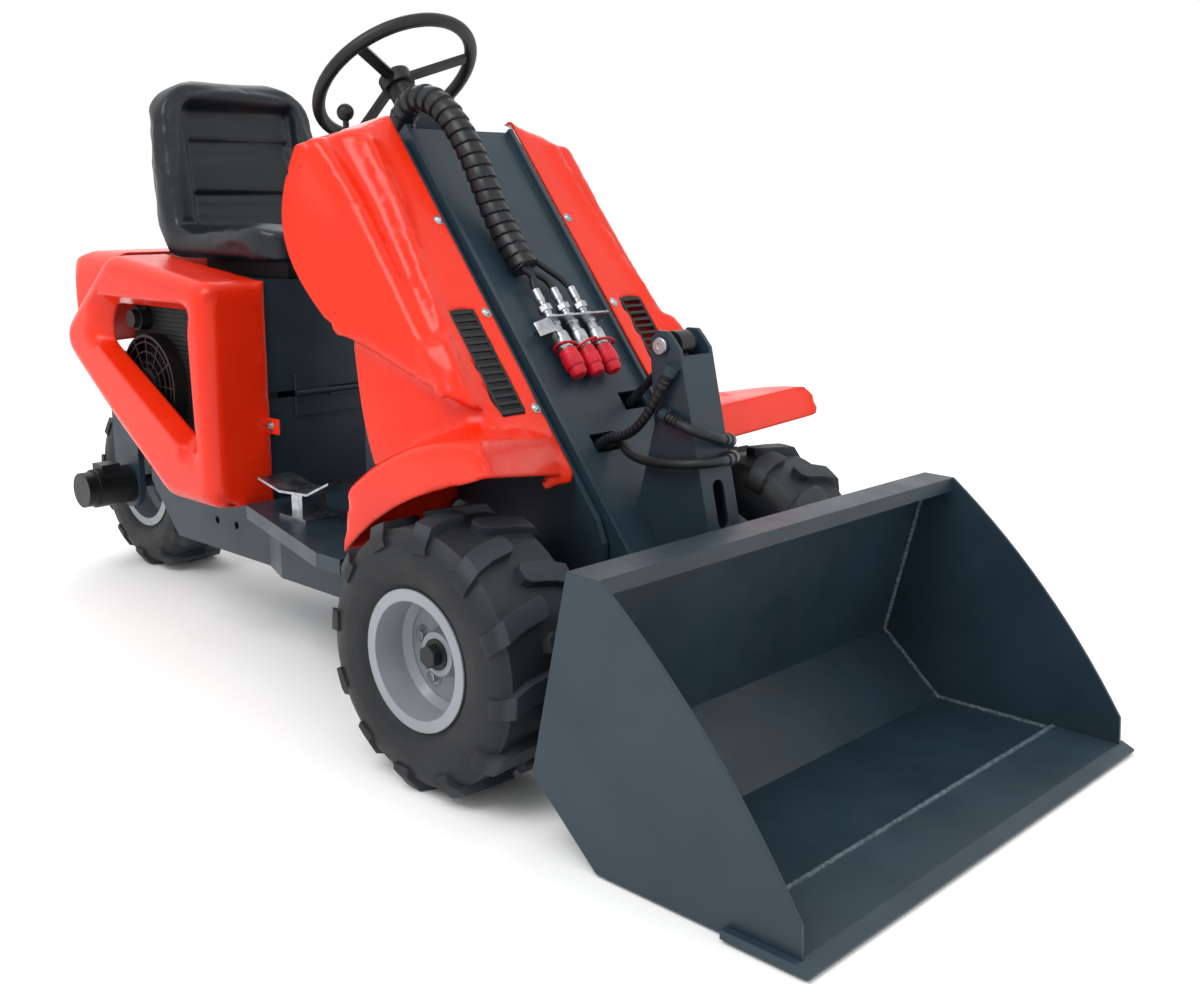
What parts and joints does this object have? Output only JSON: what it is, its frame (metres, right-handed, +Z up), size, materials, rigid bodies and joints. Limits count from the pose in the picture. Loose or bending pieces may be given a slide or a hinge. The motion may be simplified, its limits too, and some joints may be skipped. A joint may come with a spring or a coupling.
{
  "type": "three-wheeled mini loader",
  "caption": "Ride-on three-wheeled mini loader with a sloping centre boom, a tilting bucket, moulded body shells, a padded seat and a steered rear wheel.",
  "frame": {"origin": "on the ground under the middle of the whole machine, half-way between the cutting edge and the back of the rear tyre", "axes": "+X forward to the bucket, +Y to the driver's left, +Z up"},
  "size_m": [2.627, 1.032, 1.3164],
  "materials": {
    "steel_paint": "satin",
    "wear_steel": "worn satin",
    "rim_paint": "satin",
    "tyre": "matt",
    "shell": "gloss",
    "black_steel": "satin",
    "rod": "polished",
    "engine": "cast",
    "cooler": "matt",
    "black_plastic": "matt",
    "seat": "smooth vinyl",
    "zinc": "zinc plated",
    "cap": "matt",
    "sleeve": "matt"
  },
  "bodies": {
    "chassis": {"frame": "steel_paint", "boom_tower": "steel_paint", "floor_boards": "steel_paint", "rear_beam": "steel_paint", "wheel_motor_left": "black_steel", "wheel_motor_right": "black_steel", "front_shell_left": "shell", "front_shell_right": "shell", "rear_shell_left": "shell", "rear_shell_right": "shell", "rear_hood": "shell", "seat_box": "steel_paint", "engine": "engine", "oil_cooler": "cooler", "cooler_fan": "black_plastic", "air_stub": "black_plastic", "dash": "steel_paint", "steering_column": "black_plastic", "levers": "black_plastic", "pedal": "zinc", "vent_grilles": "black_plastic"},
    "front_wheel_left": {"front_rim_left": "rim_paint", "front_tyre_left": "tyre"},
    "front_wheel_right": {"front_rim_right": "rim_paint", "front_tyre_right": "tyre"},
    "steer_fork": {"rear_fork": "steel_paint", "rear_motor": "black_steel"},
    "rear_wheel": {"rear_rim": "rim_paint", "rear_tyre": "tyre"},
    "hand_wheel": {"steering_wheel": "black_plastic"},
    "boom": {"boom": "steel_paint", "tilt_mast": "steel_paint", "couplings": "zinc", "dust_caps": "cap", "hose_bundle": "sleeve", "tilt_hoses": "sleeve"},
    "bucket": {"bucket": "steel_paint", "cutting_edge": "wear_steel", "quick_coupler": "steel_paint"},
    "lift_barrel": {"lift_barrel": "black_steel"},
    "lift_rod": {"lift_rod": "rod"},
    "tilt_barrel": {"tilt_barrel": "black_steel"},
    "tilt_rod": {"tilt_rod": "rod"},
    "seat_lid": {"seat_cover": "steel_paint", "seat": "seat", "seat_rails": "black_plastic"}
  },
  "joints": [
    {"name": "front_left_spin", "type": "hinge", "parent": "chassis", "child": "front_wheel_left", "pos_m": [0.5325, 0.409, 0.236], "axis": [0, 1, 0], "continuous": true},
    {"name": "front_right_spin", "type": "hinge", "parent": "chassis", "child": "front_wheel_right", "pos_m": [0.5325, -0.409, 0.236], "axis": [0, 1, 0], "continuous": true},
    {"name": "rear_steer", "type": "hinge", "parent": "chassis", "child": "steer_fork", "pos_m": [-1.0775, 0, 0.236], "axis": [0, 0, 1], "range_deg": [-55, 55]},
    {"name": "rear_spin", "type": "hinge", "parent": "steer_fork", "child": "rear_wheel", "pos_m": [-1.0775, 0, 0.236], "axis": [0, 1, 0], "continuous": true},
    {"name": "hand_wheel_turn", "type": "hinge", "parent": "chassis", "child": "hand_wheel", "pos_m": [-0.0955, 0, 1.2], "axis": [-0.6157, 0, 0.788], "range_deg": [-330, 330]},
    {"name": "boom_lift", "type": "hinge", "parent": "chassis", "child": "boom", "pos_m": [0.0825, 0, 1.015], "axis": [0, -1, 0], "range_deg": [0, 60]},
    {"name": "bucket_tilt", "type": "hinge", "parent": "boom", "child": "bucket", "pos_m": [0.7045, 0, 0.14], "axis": [0, 1, 0], "range_deg": [-15, 90]},
    {"name": "lift_barrel_swing", "type": "hinge", "parent": "chassis", "child": "lift_barrel", "pos_m": [0.0545, 0, 0.4], "axis": [0, 1, 0], "range_deg": [0, 3.3]},
    {"name": "lift_rod_slide", "type": "slide", "parent": "lift_barrel", "child": "lift_rod", "axis": [0.3361, 0, 0.9418], "range_m": [0, 0.21321]},
    {"name": "tilt_barrel_swing", "type": "hinge", "parent": "boom", "child": "tilt_barrel", "pos_m": [0.6585, 0, 0.723], "axis": [0, 1, 0], "range_deg": [-4.05, 0.68]},
    {"name": "tilt_rod_slide", "type": "slide", "parent": "tilt_barrel", "child": "tilt_rod", "axis": [0.1753, 0, -0.9845], "range_m": [-0.02264, 0.13514]},
    {"name": "seat_tip", "type": "hinge", "parent": "chassis", "child": "seat_lid", "pos_m": [-0.2755, 0, 0.557], "axis": [0, 1, 0], "range_deg": [0, 35]}
  ],
  "couplings": [
    {"joint": "hand_wheel_turn", "follows": "rear_steer", "ratio": -6},
    {"joint": "lift_barrel_swing", "follows": "boom_lift", "ratio": 0.055},
    {"joint": "lift_rod_slide", "follows": "boom_lift", "m_per_rad": 0.2034},
    {"joint": "tilt_barrel_swing", "follows": "bucket_tilt", "ratio": -0.045},
    {"joint": "tilt_rod_slide", "follows": "bucket_tilt", "m_per_rad": 0.08594}
  ]
}
